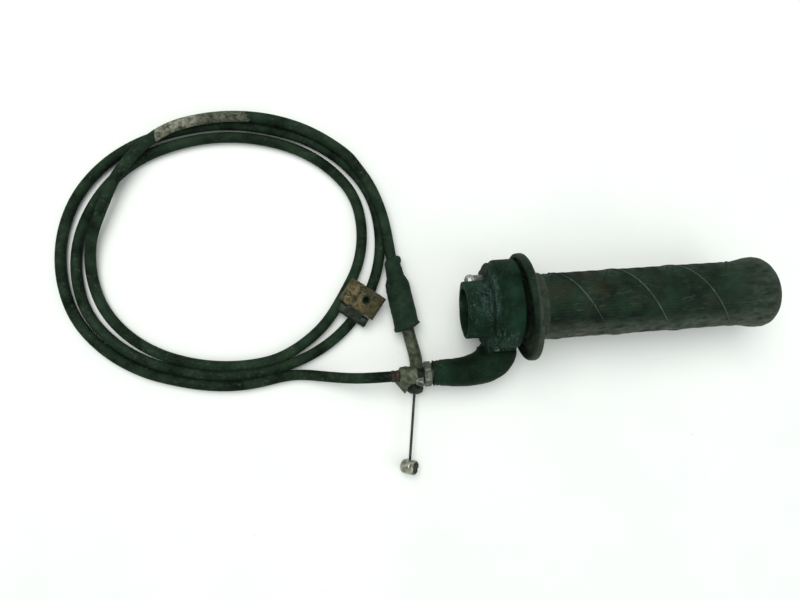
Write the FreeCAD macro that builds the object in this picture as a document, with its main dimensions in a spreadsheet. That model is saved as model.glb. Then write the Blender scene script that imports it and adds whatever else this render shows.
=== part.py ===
import FreeCAD, Part
import Sketcher
import math
import os

from FreeCAD import Placement, Rotation, Vector

# A motorcycle twist grip with its housing, throttle cable and cable clip, in millimetres.
# +X runs along the handlebar towards the grip's end, +Z is up, and the origin is the centre
# of the housing collar's mouth, on the handlebar's axis. The flange and the cable lie on the
# floor plane, one flange radius below the axis.

SIZES = {
    # bores for a standard 22.2 mm handlebar: the clamping collar and the turning tube
    "bar_bore": 11.15,
    "tube_bore": 11.4,
    # housing: collar, drum cover and cable boss, as stations along X and radii
    "collar_radius": 13.75,
    "collar_end": 12.6,
    "shoulder_start": 11.2,
    "shoulder_radius": 20.6,
    "cover_start": 14.2,
    "cover_chamfer_start": 24.2,
    "cover_end": 25.6,
    "cover_radius": 22.0,
    "cover_end_radius": 20.4,
    "cover_offset": 1.8,
    "chamber_start": 15.4,
    "chamber_end": 22.2,
    "chamber_radius": 18.9,
    "neck_opening": 13.28,
    "boss_start": 10.6,
    "boss_end": 26.1,
    "boss_outer": -21.8,
    "boss_inner": -11.0,
    "boss_bottom": -22.4,
    # screw bosses and screws, standing along Z
    "screw_x": 13.4,
    "screw_y": 17.8,
    "screw_boss_radius": 2.5,
    "screw_boss_top": 6.0,
    "screw_seat_cable_side": -18.2,
    "screw_seat_far_side": -14.0,
    "screw_radius": 1.5,
    "screw_clearance": 1.6,
    "screw_tip": 5.0,
    "screw_head_radius": 2.3,
    "screw_head_height": 2.0,
    "screw_pocket_radius": 2.5,
    # steel tab beside the collar
    "tab_start": 0.4,
    "tab_length": 6.6,
    "tab_inner": 13.3,
    "tab_width": 4.05,
    "tab_thickness": 1.0,
    "tab_eye_radius": 1.0,
    "tab_eye_x": 2.2,
    "tab_eye_y": 15.55,
    # throttle tube and its drum
    "drum_start": 15.7,
    "drum_end": 21.9,
    "drum_radius": 18.5,
    "groove_start": 17.8,
    "groove_end": 20.0,
    "groove_radius": 13.25,
    "neck_radius": 13.2,
    "tube_radius": 13.0,
    "tube_end": 146.0,
    "wire_radius": 0.75,
    "wire_x": 18.9,
    "pitch_radius": 14.0,
    "drum_nipple_radius": 2.2,
    "drum_nipple_start": 17.0,
    "drum_nipple_length": 4.9,
    # grip rubber
    "flange_start": 27.0,
    "flange_start_rim": 28.0,
    "flange_end_rim": 30.4,
    "flange_end": 31.4,
    "flange_radius": 25.8,
    "flange_inner_edge": 24.6,
    "grip_collar_radius": 16.3,
    "grip_collar_end": 36.0,
    "grip_radius": 15.6,
    "bulb_start": 131.0,
    "bulb_rise": 136.0,
    "bulb_rise_radius": 16.4,
    "bulb_peak": 142.0,
    "bulb_peak_end": 146.4,
    "bulb_radius": 17.2,
    "bulb_shoulder": 149.4,
    "bulb_shoulder_radius": 15.4,
    "grip_end": 151.0,
    "grip_end_radius": 12.4,
    "grip_axis": 0.0,
    # elbow pipe and boot
    "pipe_radius": 3.5,
    "pipe_bore": 1.6,
    "boot_radius": 6.9,
    "boot_root_radius": 7.6,
    "boot_root_length": 4.4,
    "boot_end": -15.6,
    # adjuster at the end of the elbow, along -X
    "adjuster_y": -29.2,
    "adjuster_z": -11.0,
    "pipe_end": -16.0,
    "barrel_radius": 3.5,
    "barrel_end": -25.0,
    "nut_start": -16.3,
    "nut_length": 3.8,
    "nut_corner_radius": 6.2,
    "nut_bore": 3.58,
    "stop_start": -23.2,
    "stop_end": -32.0,
    "stop_radius": 4.4,
    "stop_tab_bottom": -13.6,
    "stop_tab_thickness": 3.0,
    "ferrule_length": 4.3,
    "ferrule_radius": 2.9,
    # outer cable
    "cable_radius": 2.65,
    # the coil: a ring of loose turns round one centre
    "coil_x": -113.0,
    "coil_y": 37.0,
    "coil_radius": 68.0,
    "coil_stretch": 5.6,
    "coil_height": 8.0,
    # carburettor end
    "carb_boot_top": 6.0,
    "carb_boot_lip": 6.4,
    "carb_boot_knuckle": 6.15,
    "carb_boot_neck": 3.9,
    "end_tube_radius": 3.15,
    "end_tube_bore": 2.2,
    "nose_radius": 4.3,
    "nose_back": 4.0,
    "nose_front": 1.0,
    "end_wire_radius": 0.7,
    "end_wire_length": 37.8,
    "end_wire_hidden": 2.0,
    "nipple_radius": 3.65,
    "nipple_length": 7.3,
    "nipple_lean": 34.0,
    "nipple_chamfer": 0.4,
    # cable clip
    "clip_x": -47.4,
    "clip_y": 9.7,
    "clip_turn": -37.0,
    "clip_length": 19.0,
    "clip_width": 12.6,
    "clip_sheet": 1.5,
    "clip_height": 8.6,
    "clip_hole_radius": 1.6,
}

# The elbow's centre line, from inside the cable boss to the adjuster.
ELBOW_POINTS = [
    (18.9, -16.0, -14.0),
    (18.9, -23.6, -14.0),
    (10.2, -28.2, -13.4),
    (-2.0, -29.9, -12.0),
    (-10.0, -29.2, -11.0),
    (-16.0, -29.2, -11.0),
]

# The outer cable from the ferrule down to the floor, where it joins the coil.
LEAD_POINTS = [
    (-36.3, -29.2, -11.0),
    (-46.5, -29.2, -11.0),
    (-56.8, -28.9, -14.8),
    (-67.5, -27.8, -20.0),
    (-78.0, -26.3, -23.15),
    (-87.0, -25.9, -23.15),
]

# The outer cable from the coil up to the dust boot.
TAIL_POINTS = [
    (-45.5, 75.4, -19.6),
    (-40.3, 67.4, -19.7),
    (-36.4, 58.0, -20.1),
    (-33.8, 48.4, -20.6),
    (-32.4, 38.5, -21.0),
    (-31.3, 28.3, -21.3),
]

# How far each eighth of a turn of the coil lies outside (+) or inside (-) the middle oval.
COIL_START_ANGLE = -69.0
COIL_OFFSETS = (3, 3, 7, 5, 1, 1, 5, 1, 0, -2, 1, -4, -4, -5, -4, -12, -6, -7, -7, -9, 2, 5, 8, 8, 9)
STEPS_PER_TURN = 8
COIL_TURNS = 2.72

# The end tube's centre line, from the nose to its end inside the dust boot.
TUBE_POINTS = [
    (-24.2, -38.8, -21.25),
    (-22.3, -25.0, -21.4),
    (-27.6, 3.0, -19.6),
]

# The dust boot's centre line: the cable's end, the shoulder and the lip.
CARB_BOOT_POINTS = [
    TAIL_POINTS[-1],
    (-29.9, 19.0, -19.6),
    (-25.7, -6.8, -19.2),
]

# The side of each housing screw along Y, and the cell with the height of its head's seat.
SCREW_SEATS = [(-1, "dims.screw_seat_cable_side"), (1, "dims.screw_seat_far_side")]

DRUM_NIPPLE_ANGLE = -45.0
DRUM_WIRE_END_ANGLE = -55.0
TANGENT_ANGLE = -90.0

doc = FreeCAD.newDocument("throttle_grip")
sheet = doc.addObject("Spreadsheet::Sheet", "dims")
parts = {}


def fill_sheet():
    for row, (alias, value) in enumerate(SIZES.items(), start=1):
        sheet.set(f"A{row}", alias)
        sheet.set(f"B{row}", str(value))
        sheet.setAlias(f"B{row}", alias)
    doc.recompute()


def bind(thing, **expressions):
    """Binds properties of a document object to expressions over the sheet's cells."""
    for name, expression in expressions.items():
        thing.setExpression(name.replace("__", "."), expression)


def place(thing, x="0", y="0", z="0", rotation=None):
    thing.Placement = Placement(Vector(0, 0, 0), rotation or Rotation())
    bind(thing, Placement__Base__x=x, Placement__Base__y=y, Placement__Base__z=z)


ALONG_X = Rotation(Vector(0, 1, 0), 90)
ALONG_MINUS_X = Rotation(Vector(0, 1, 0), -90)


def cylinder(name, radius, length, x="0", y="0", z="0", rotation=None):
    thing = doc.addObject("Part::Cylinder", name)
    bind(thing, Radius=radius, Height=length)
    place(thing, x, y, z, rotation)
    return thing


def box(name, size, x="0", y="0", z="0"):
    thing = doc.addObject("Part::Box", name)
    bind(thing, Length=size[0], Width=size[1], Height=size[2])
    place(thing, x, y, z)
    return thing


def fuse(name, *things):
    thing = doc.addObject("Part::MultiFuse", name)
    thing.Shapes = list(things)
    return thing


def cut(name, base, tool):
    thing = doc.addObject("Part::Cut", name)
    thing.Base, thing.Tool = base, tool
    return thing


def common(name, *things):
    thing = doc.addObject("Part::MultiCommon", name)
    thing.Shapes = list(things)
    return thing


def keep(node, thing):
    """Registers a finished sub-part under the name that its file gets."""
    thing.Label = node
    parts[node] = thing
    return thing


def solid(name, shape):
    """A document object for a shape that comes from Part's own functions."""
    thing = doc.addObject("Part::Feature", name)
    thing.Shape = shape
    thing.Placement = Placement()
    return thing


def finish(node, shape):
    return keep(node, solid(node, shape))


def plane_of(body, role):
    return next(f for f in body.Origin.OriginFeatures if f.Role == role)


def profile(body, name, corners):
    """A closed sketch through corners given as pairs of cell names, fully constrained."""
    sketch = body.newObject("Sketcher::SketchObject", name)
    sketch.AttachmentSupport = (plane_of(body, "XY_Plane"), "")
    sketch.MapMode = "FlatFace"
    points = [Vector(SIZES[x], SIZES[y], 0) for x, y in corners]
    count = len(points)
    for i in range(count):
        sketch.addGeometry(Part.LineSegment(points[i], points[(i + 1) % count]), False)
    for i in range(count):
        sketch.addConstraint(Sketcher.Constraint("Coincident", i, 2, (i + 1) % count, 1))
    for i, (x, y) in enumerate(corners):
        for kind, alias in (("DistanceX", x), ("DistanceY", y)):
            number = sketch.addConstraint(Sketcher.Constraint(kind, -1, 1, i, 1, SIZES[alias]))
            sketch.setExpression(f"Constraints[{number}]", f"dims.{alias}")
    return sketch


def turned(name, corners):
    """A PartDesign body turned about the X axis from one profile."""
    body = doc.addObject("PartDesign::Body", name)
    sketch = profile(body, f"{name}_profile", corners)
    turn = body.newObject("PartDesign::Revolution", f"{name}_turn")
    turn.Profile = sketch
    turn.ReferenceAxis = (sketch, ["H_Axis"])
    turn.Angle = 360
    sketch.Visibility = False
    return body


def rounded_path(points, name):
    """Straight runs joined by tangent arcs as large as the runs allow; prints the radii."""
    points = [Vector(*p) for p in points]
    edges, radii, start = [], [], points[0]
    for before, corner, after in zip(points, points[1:], points[2:]):
        back, ahead = before - corner, after - corner
        half_turn = (math.pi - back.getAngle(ahead)) / 2
        reach = 0.45 * min(back.Length, ahead.Length)
        radius = reach / math.tan(half_turn)
        back.normalize()
        ahead.normalize()
        inward = back + ahead
        inward.normalize()
        first, last = corner + back * reach, corner + ahead * reach
        centre = corner + inward * math.hypot(radius, reach)
        edges.append(Part.LineSegment(start, first).toShape())
        edges.append(Part.Arc(first, centre - inward * radius, last).toShape())
        radii.append(round(radius, 1))
        start = last
    edges.append(Part.LineSegment(start, points[-1]).toShape())
    print(f"{name} radii {radii}")
    return Part.Wire(edges)


def tube_along(path, radius, name):
    """A round rod along a path, checked against its section times its length."""
    start = path.Edges[0].Vertexes[0].Point
    heading = path.Edges[0].tangentAt(path.Edges[0].FirstParameter)
    ring = Part.Wire(Part.Circle(start, heading, radius).toShape())
    rod = path.makePipeShell([ring], True, True)
    expected = math.pi * radius**2 * path.Length
    print(f"{name} length {path.Length:.1f} volume share {rod.Volume / expected:.4f}")
    return rod


def housing(pipe_path):
    """Two half shells that clamp on the handlebar round the drum, split at the axis."""
    collar = cylinder("collar", "dims.collar_radius", "dims.collar_end", rotation=ALONG_X)
    shoulder = cylinder(
        "shoulder",
        "dims.shoulder_radius",
        "dims.cover_start - dims.shoulder_start",
        x="dims.shoulder_start",
        y="dims.cover_offset",
        rotation=ALONG_X,
    )
    cover = cylinder(
        "drum_cover",
        "dims.cover_radius",
        "dims.cover_chamfer_start - dims.cover_start",
        x="dims.cover_start",
        y="dims.cover_offset",
        rotation=ALONG_X,
    )
    chamfer = doc.addObject("Part::Cone", "cover_chamfer")
    bind(chamfer, Radius1="dims.cover_radius", Radius2="dims.cover_end_radius",
         Height="dims.cover_end - dims.cover_chamfer_start")
    place(chamfer, "dims.cover_chamfer_start", "dims.cover_offset", rotation=ALONG_X)
    boss = box(
        "cable_boss",
        ("dims.boss_end - dims.boss_start", "dims.boss_inner - dims.boss_outer",
         "-dims.boss_bottom - 1"),
        "dims.boss_start",
        "dims.boss_outer",
        "dims.boss_bottom",
    )
    bosses = [screw_column("boss", "dims.screw_boss_radius", seat, "dims.screw_boss_top", side)
              for side, seat in SCREW_SEATS]
    block = fuse("housing_block", collar, shoulder, cover, chamfer, boss, *bosses)
    bar = cylinder("bar_space", "dims.bar_bore", "dims.chamber_start + 2", x="-1",
                   rotation=ALONG_X)
    chamber = cylinder("drum_space", "dims.chamber_radius",
                       "dims.chamber_end - dims.chamber_start",
                       x="dims.chamber_start", rotation=ALONG_X)
    neck = cylinder("neck_space", "dims.neck_opening", "dims.cover_end - dims.chamber_end + 2",
                    x="dims.chamber_end - 1", rotation=ALONG_X)
    pipe = solid("pipe_space", tube_along(pipe_path, SIZES["pipe_radius"], "pipe_space"))
    wire_way = cylinder("wire_way", "dims.pipe_radius", "8", x="dims.wire_x", y="-9",
                        z="-dims.pitch_radius", rotation=Rotation(Vector(1, 0, 0), 90))
    holes = [screw_column("hole", "dims.screw_clearance", f"{seat} - 1", "0", side)
             for side, seat in SCREW_SEATS]
    threads = [screw_column("thread", "dims.screw_radius", "-1", "dims.screw_tip", side)
               for side, seat in SCREW_SEATS]
    pockets = [screw_column("pocket", "dims.screw_pocket_radius", "dims.boss_bottom - 1", seat,
                            side) for side, seat in SCREW_SEATS]
    hollow = cut("housing_hollow", block, fuse("turned_spaces", bar, chamber, neck))
    drilled = cut("housing_drilled", cut("wire_way_drilled", hollow, wire_way), pipe)
    pocketed = cut("housing_pocketed", drilled, fuse("screw_pockets", *pockets))
    shell = cut("housing_shell", pocketed, fuse("screw_spaces", *holes, *threads))
    upper_half = box("upper_half", ("60", "60", "30"), "-10", "-30", "0")
    lower_half = box("lower_half", ("60", "60", "30"), "-10", "-30", "-30")
    keep("housing_upper", common("housing_upper", shell, upper_half))
    keep("housing_lower", common("housing_lower", shell, lower_half))


def screw_column(role, radius, bottom, top, side):
    name = f"screw_{role}_{'far' if side > 0 else 'cable'}_side"
    return cylinder(name, radius, f"({top}) - ({bottom})", x="dims.screw_x",
                    y=f"{side} * dims.screw_y", z=bottom)


def screws():
    pieces = []
    for side, seat in SCREW_SEATS:
        shank = screw_column("shank", "dims.screw_radius", seat, "dims.screw_tip", side)
        head = screw_column("head", "dims.screw_head_radius",
                            f"{seat} - dims.screw_head_height", seat, side)
        pieces += [shank, head]
    keep("housing_screws", fuse("housing_screws", *pieces))


def collar_tab():
    """A thin steel tab with an eye, set against the collar at the split."""
    strip = box("tab_strip", ("dims.tab_length", "dims.tab_width", "dims.tab_thickness"),
                "dims.tab_start", "dims.tab_inner", "-dims.tab_thickness / 2")
    eye = cylinder("tab_eye", "dims.tab_eye_radius", "4", x="dims.tab_eye_x",
                   y="dims.tab_eye_y", z="-2")
    seat = cylinder("tab_seat", "dims.collar_radius", "dims.collar_end", rotation=ALONG_X)
    keep("collar_tab", cut("collar_tab", cut("tab_with_eye", strip, eye), seat))


def throttle_tube():
    """The tube that turns on the handlebar, with the grooved drum at its inner end."""
    corners = [
        ("drum_start", "tube_bore"),
        ("drum_start", "drum_radius"),
        ("groove_start", "drum_radius"),
        ("groove_start", "groove_radius"),
        ("groove_end", "groove_radius"),
        ("groove_end", "drum_radius"),
        ("drum_end", "drum_radius"),
        ("drum_end", "neck_radius"),
        ("flange_start", "neck_radius"),
        ("flange_start", "tube_radius"),
        ("tube_end", "tube_radius"),
        ("tube_end", "tube_bore"),
    ]
    seat = drum_nipple_shape("nipple_seat")
    keep("throttle_tube", cut("throttle_tube", turned("tube_blank", corners), seat))


def drum_nipple_shape(name):
    angle = math.radians(DRUM_NIPPLE_ANGLE)
    return cylinder(name, "dims.drum_nipple_radius", "dims.drum_nipple_length",
                    x="dims.drum_nipple_start",
                    y=f"dims.pitch_radius * {math.cos(angle):.6f}",
                    z=f"dims.pitch_radius * {math.sin(angle):.6f}", rotation=ALONG_X)


def drum_wire():
    """The wire wrapped in the drum's groove, from the nipple to where it leaves."""
    centre = Vector(SIZES["wire_x"], 0, 0)

    def on_drum(angle):
        turn = math.radians(angle)
        reach = SIZES["pitch_radius"]
        return centre + Vector(0, reach * math.cos(turn), reach * math.sin(turn))

    middle = (TANGENT_ANGLE + DRUM_WIRE_END_ANGLE) / 2
    arc = Part.Arc(on_drum(TANGENT_ANGLE), on_drum(middle), on_drum(DRUM_WIRE_END_ANGLE))
    finish("drum_wire", tube_along(Part.Wire(arc.toShape()), SIZES["wire_radius"],
                                   "drum_wire"))


def grip_rubber():
    corners = [
        ("flange_start", "tube_radius"),
        ("flange_start", "flange_inner_edge"),
        ("flange_start_rim", "flange_radius"),
        ("flange_end_rim", "flange_radius"),
        ("flange_end", "flange_inner_edge"),
        ("flange_end", "grip_collar_radius"),
        ("grip_collar_end", "grip_collar_radius"),
        ("grip_collar_end", "grip_radius"),
        ("bulb_start", "grip_radius"),
        ("bulb_rise", "bulb_rise_radius"),
        ("bulb_peak", "bulb_radius"),
        ("bulb_peak_end", "bulb_radius"),
        ("bulb_shoulder", "bulb_shoulder_radius"),
        ("grip_end", "grip_end_radius"),
        ("grip_end", "grip_axis"),
        ("tube_end", "grip_axis"),
        ("tube_end", "tube_radius"),
    ]
    keep("grip_rubber", turned("grip_rubber", corners))


def elbow(path):
    """The guide pipe from the drum to the adjuster, its rubber boot and its inner wire."""
    bore = tube_along(path, SIZES["pipe_bore"], "pipe_bore")
    finish("elbow_pipe", tube_along(path, SIZES["pipe_radius"], "elbow_pipe").cut(bore))

    sleeve = tube_along(path, SIZES["boot_radius"], "elbow_boot")
    inside = Part.makeBox(60, 20, 40, Vector(-10, SIZES["boss_outer"], -35))
    beyond = Part.makeBox(10, 30, 40, Vector(SIZES["boot_end"] - 10, -45, -35))
    root = Part.makeCylinder(SIZES["boot_root_radius"], SIZES["boot_root_length"],
                             Vector(ELBOW_POINTS[1][0], SIZES["boss_outer"],
                                    ELBOW_POINTS[1][2]), Vector(0, -1, 0))
    boot = sleeve.cut(inside).cut(beyond).fuse(root)
    core = tube_along(path, SIZES["pipe_radius"], "boot_bore")
    finish("elbow_boot", boot.cut(core).removeSplitter())

    wire_start = Vector(SIZES["wire_x"], -3.0, -SIZES["pitch_radius"])
    wire_points = [tuple(wire_start)] + ELBOW_POINTS[1:-1]
    wire_points.append((SIZES["stop_end"], SIZES["adjuster_y"], SIZES["adjuster_z"]))
    wire_path = rounded_path(wire_points, "grip_wire")
    finish("grip_wire", tube_along(wire_path, SIZES["wire_radius"], "grip_wire"))


def adjuster():
    """The threaded barrel on the pipe's end, the ring that turns on it and the cable's stop."""
    along = {"y": "dims.adjuster_y", "z": "dims.adjuster_z", "rotation": ALONG_MINUS_X}
    barrel = cylinder("barrel_rod", "dims.barrel_radius", "dims.pipe_end - dims.barrel_end",
                      x="dims.pipe_end", **along)
    barrel_bore = cylinder("barrel_bore", "dims.pipe_bore", "40", x="0", **along)
    keep("adjuster_barrel", cut("adjuster_barrel", barrel, barrel_bore))

    hexagon = doc.addObject("Part::Prism", "nut_hexagon")
    hexagon.Polygon = 6
    bind(hexagon, Circumradius="dims.nut_corner_radius", Height="dims.nut_length")
    place(hexagon, "dims.nut_start", "dims.adjuster_y", "dims.adjuster_z", ALONG_MINUS_X)
    nut_bore = cylinder("nut_bore_space", "dims.nut_bore", "40", x="0", **along)
    keep("adjuster_nut", cut("adjuster_nut", hexagon, nut_bore))

    stop = cylinder("stop_rod", "dims.stop_radius", "dims.stop_start - dims.stop_end",
                    x="dims.stop_start", **along)
    wedge = solid("stop_wedge", stop_tab_shape())
    seat = cylinder("stop_seat", "dims.barrel_radius", "dims.stop_start - dims.barrel_end",
                    x="dims.stop_start", **along)
    way = cylinder("stop_bore", "dims.pipe_bore", "60", x="0", **along)
    stop_spaces = fuse("stop_spaces", seat, way)
    keep("cable_stop", cut("cable_stop", fuse("stop_block", stop, wedge), stop_spaces))

    ferrule = cylinder("ferrule_rod", "dims.ferrule_radius", "dims.ferrule_length",
                       x="dims.stop_end", **along)
    ferrule_bore = cylinder("ferrule_bore", "dims.pipe_bore", "60", x="0", **along)
    keep("grip_ferrule", cut("grip_ferrule", ferrule, ferrule_bore))


def stop_tab_shape():
    """The sloped tab on the cable's stop, a flat plate over the end tube."""
    start, end, axis = SIZES["stop_start"], SIZES["stop_end"], SIZES["adjuster_y"]
    outline = [
        (end + 0.1, axis - 1.8),
        (start, axis - 1.8),
        (start, axis - 4.6),
        (start - 2.8, axis - 5.0),
        (start - 5.0, axis - 6.4),
        (start - 5.9, axis - 8.6),
        (start - 7.6, axis - 7.4),
    ]
    corners = [Vector(x, y, SIZES["stop_tab_bottom"]) for x, y in outline]
    face = Part.Face(Part.makePolygon(corners + corners[:1]))
    return face.extrude(Vector(0, 0, SIZES["stop_tab_thickness"]))


def coil_radius_at(turns):
    """The distance from the coil's centre to the cable after a number of turns."""
    angle = math.radians(COIL_START_ANGLE - 360 * turns)
    step = int(turns * STEPS_PER_TURN)
    share = turns * STEPS_PER_TURN - step
    offset = COIL_OFFSETS[step] * (1 - share) + COIL_OFFSETS[step + 1] * share
    return SIZES["coil_radius"] + SIZES["coil_stretch"] * math.cos(2 * angle) + offset


def coil_outline(steps, inside):
    """A face bounded by the coil's outer or inner side, whichever turn lies furthest out or in."""
    points = []
    for step in range(steps):
        share = step / steps
        radii = [coil_radius_at(share + lap) for lap in range(3) if share + lap <= COIL_TURNS]
        reach = min(radii) - SIZES["cable_radius"] if inside else max(radii) + SIZES["cable_radius"]
        angle = math.radians(COIL_START_ANGLE - 360 * share)
        points.append(Vector(SIZES["coil_x"] + reach * math.cos(angle),
                             SIZES["coil_y"] + reach * math.sin(angle),
                             -SIZES["flange_radius"]))
    curve = Part.BSplineCurve()
    curve.interpolate(Points=points, PeriodicFlag=True)
    return Part.Face(Part.Wire(curve.toShape()))


def cable():
    """The outer cable: a drooping lead, the coil's outer shape and a short tail."""
    lead = tube_along(rounded_path(LEAD_POINTS, "cable_lead"), SIZES["cable_radius"],
                      "cable_lead")
    finish("cable_lead", lead)
    height = Vector(0, 0, SIZES["coil_height"])
    ring = coil_outline(24, False).extrude(height).cut(coil_outline(24, True).extrude(height))
    finish("cable_coil", ring)
    tail = tube_along(rounded_path(TAIL_POINTS, "cable_tail"), SIZES["cable_radius"],
                      "cable_tail")
    finish("cable_tail", tail)


def carb_end():
    """The dust boot, the bent end tube with its flared nose, and the moving wire and nipple."""
    nose, knee, top = (Vector(*p) for p in TUBE_POINTS)
    path = rounded_path(TUBE_POINTS, "end_tube")
    tube = tube_along(path, SIZES["end_tube_radius"], "end_tube")
    bore = tube_along(path, SIZES["end_tube_bore"], "end_tube_bore")
    finish("end_tube", tube.cut(bore))

    inward = (knee - nose).normalize()
    cup_back = SIZES["nose_back"] + SIZES["nose_front"]
    cup = Part.makeCylinder(SIZES["nose_radius"], cup_back,
                            nose - inward * SIZES["nose_front"], inward)
    hollow = Part.makeCylinder(SIZES["end_tube_radius"], cup_back + 2,
                               nose - inward * (SIZES["nose_front"] + 1), inward)
    finish("nose_cup", cup.cut(hollow))

    neck_top, bend, lip = (Vector(*p) for p in CARB_BOOT_POINTS)
    neck_way, body_way = bend - neck_top, lip - bend
    neck = Part.makeCone(SIZES["carb_boot_neck"], SIZES["carb_boot_top"] - 0.2,
                         neck_way.Length, neck_top, neck_way)
    knuckle = Part.makeSphere(SIZES["carb_boot_knuckle"], bend)
    barrel = Part.makeCone(SIZES["carb_boot_top"], SIZES["carb_boot_lip"], body_way.Length,
                           bend, body_way)
    socket = Part.makeCylinder(SIZES["end_tube_radius"], (top - knee).Length, knee, top - knee)
    boot = neck.fuse([knuckle, barrel]).cut(socket).cut(parts["cable_tail"].Shape)
    finish("carb_boot", boot.removeSplitter())

    wire_start = nose + inward * SIZES["end_wire_hidden"]
    wire = Part.makeCylinder(SIZES["end_wire_radius"],
                             SIZES["end_wire_hidden"] + SIZES["end_wire_length"],
                             wire_start, inward * -1)
    centre = nose - inward * SIZES["end_wire_length"]
    level = inward.cross(Vector(0, 0, 1))
    across = Rotation(inward, -SIZES["nipple_lean"]).multVec(level).normalize()
    nipple = Part.makeCylinder(SIZES["nipple_radius"], SIZES["nipple_length"],
                               centre - across * (SIZES["nipple_length"] / 2), across)
    rims = [edge for edge in nipple.Edges if len(edge.Vertexes) == 1]
    nipple = nipple.makeChamfer(SIZES["nipple_chamfer"], rims)
    finish("cable_nipple", nipple)
    finish("inner_wire", wire.cut(nipple))


def clip():
    """A bent sheet-metal clip: a flat plate over the cable and a strap hooked round it."""
    turn = Rotation(Vector(0, 0, 1), SIZES["clip_turn"])
    floor = -SIZES["flange_radius"]
    length, width, sheet_gauge = SIZES["clip_length"], SIZES["clip_width"], SIZES["clip_sheet"]
    spot = Placement(Vector(SIZES["clip_x"], SIZES["clip_y"], floor), turn)
    plate = Part.makeBox(length, width, sheet_gauge,
                         Vector(-length / 2, -width / 2, SIZES["clip_height"]))
    hole = Part.makeCylinder(SIZES["clip_hole_radius"], 4 * sheet_gauge,
                             Vector(0, 0, SIZES["clip_height"] - sheet_gauge))
    finish("clip_plate", plate.cut(hole).transformGeometry(spot.toMatrix()))
    wall = Part.makeBox(sheet_gauge, width, SIZES["clip_height"] - 0.6,
                        Vector(-length / 2, -width / 2, 0.6))
    foot = Part.makeBox(length * 0.6, width * 0.7, 1.2,
                        Vector(-length / 2, -width / 2 - 3.0, SIZES["clip_height"] - 2.4))
    strap = wall.fuse(foot).removeSplitter()
    finish("clip_strap", strap.transformGeometry(spot.toMatrix()))


def drum_nipple():
    keep("drum_nipple", drum_nipple_shape("drum_nipple"))


def check_and_write():
    doc.recompute()
    for thing in doc.Objects:
        if "Invalid" in thing.State or "Error" in thing.State:
            raise RuntimeError(f"{thing.Name} failed: {thing.State}")
    os.makedirs("parts", exist_ok=True)
    for node, thing in parts.items():
        shape = thing.Shape
        if shape.isNull() or not shape.isValid() or shape.Volume <= 0:
            raise RuntimeError(f"{node} has no valid shape")
        shape.exportStep(os.path.join("parts", f"{node}.step"))
        print(f"{node} solids {len(shape.Solids)} volume {shape.Volume:.1f}")


fill_sheet()
elbow_path = rounded_path(ELBOW_POINTS, "elbow")
housing(elbow_path)
screws()
collar_tab()
throttle_tube()
drum_nipple()
drum_wire()
grip_rubber()
elbow(elbow_path)
adjuster()
cable()
carb_end()
clip()
check_and_write()
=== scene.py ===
import math

import bpy
from mathutils import Matrix, Vector, noise


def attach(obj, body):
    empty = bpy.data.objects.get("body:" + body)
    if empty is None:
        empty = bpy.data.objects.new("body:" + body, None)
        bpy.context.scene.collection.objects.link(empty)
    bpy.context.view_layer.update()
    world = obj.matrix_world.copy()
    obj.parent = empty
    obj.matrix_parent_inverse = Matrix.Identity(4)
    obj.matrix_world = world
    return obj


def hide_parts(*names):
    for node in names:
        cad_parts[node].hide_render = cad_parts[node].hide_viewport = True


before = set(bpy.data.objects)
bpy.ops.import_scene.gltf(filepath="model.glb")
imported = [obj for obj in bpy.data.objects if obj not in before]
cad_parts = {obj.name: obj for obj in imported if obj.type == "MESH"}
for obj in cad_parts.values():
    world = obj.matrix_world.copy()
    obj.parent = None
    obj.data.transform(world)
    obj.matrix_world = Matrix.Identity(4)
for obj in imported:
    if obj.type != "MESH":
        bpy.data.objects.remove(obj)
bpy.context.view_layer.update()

# A motorcycle throttle grip with its twist housing, its coiled cable and a rusty cable clip.
# Lengths in this script are millimetres in the model's frame, and MM turns them into metres.
MM = 0.001
FLOOR = -25.8
CABLE_RADIUS = 2.65

# The cable's route: from the ferrule to the floor, round the coil, and up to the dust boot.
LEAD_POINTS = [
    (-36.3, -29.2, -11.0),
    (-46.5, -29.2, -11.0),
    (-56.8, -28.9, -14.8),
    (-67.5, -27.8, -20.0),
    (-78.0, -26.3, -23.15),
    (-87.0, -25.9, -23.15),
]
TAIL_POINTS = [
    (-45.5, 75.4, -19.6),
    (-40.3, 67.4, -19.7),
    (-36.4, 58.0, -20.1),
    (-33.8, 48.4, -20.6),
    (-32.4, 38.5, -21.0),
    (-31.3, 28.3, -21.3),
]
COIL_CENTRE = (-113.0, 37.0)
COIL_RADIUS = 68.0
COIL_STRETCH = 5.6
COIL_START_ANGLE = -69.0
# How far the coil's radius is off the even one, at each eighth of a turn.
COIL_OFFSETS = (4, 3, 7, 5, 1, 1, 5, 1, -1, -2, 1, -4, -5.5, -5, -2.5, -10.5, -5.5, -7, -7,
                -10.5, 2, 5, 8, 8, 9)
COIL_TURNS = 2.70
COIL_POINTS_PER_TURN = 24
# A quadratic spline runs inside the circle that its control points lie on.
SPLINE_PULL = 1.0087
# Height of the last turn above the floor layer, by turns from the coil's start.
RISE = [(0.0, 0.0), (2.28, 0.0), (2.37, 5.4), (2.57, 5.4), (2.66, 4.2), (2.72, 3.6)]

# The end tube: nose, knee and its end inside the dust boot.
NOSE = Vector((-24.2, -38.8, -21.25))
KNEE = Vector((-22.3, -25.0, -21.4))
TUBE_TOP = Vector((-27.6, 3.0, -19.6))
WIRE_LENGTH = 37.8
NIPPLE_LEAN = 34.0
STRANDS = 6
STRAND_LAY = 5.2
STRAND_RADIUS = 0.26
STRAND_REACH = 0.44

# The winding ribs of the grip: one turn along it, the station of the first and the gap between.
RIB_PITCH = 59.2
RIB_ZERO = 57.4
RIB_GAP = 29.6

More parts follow.
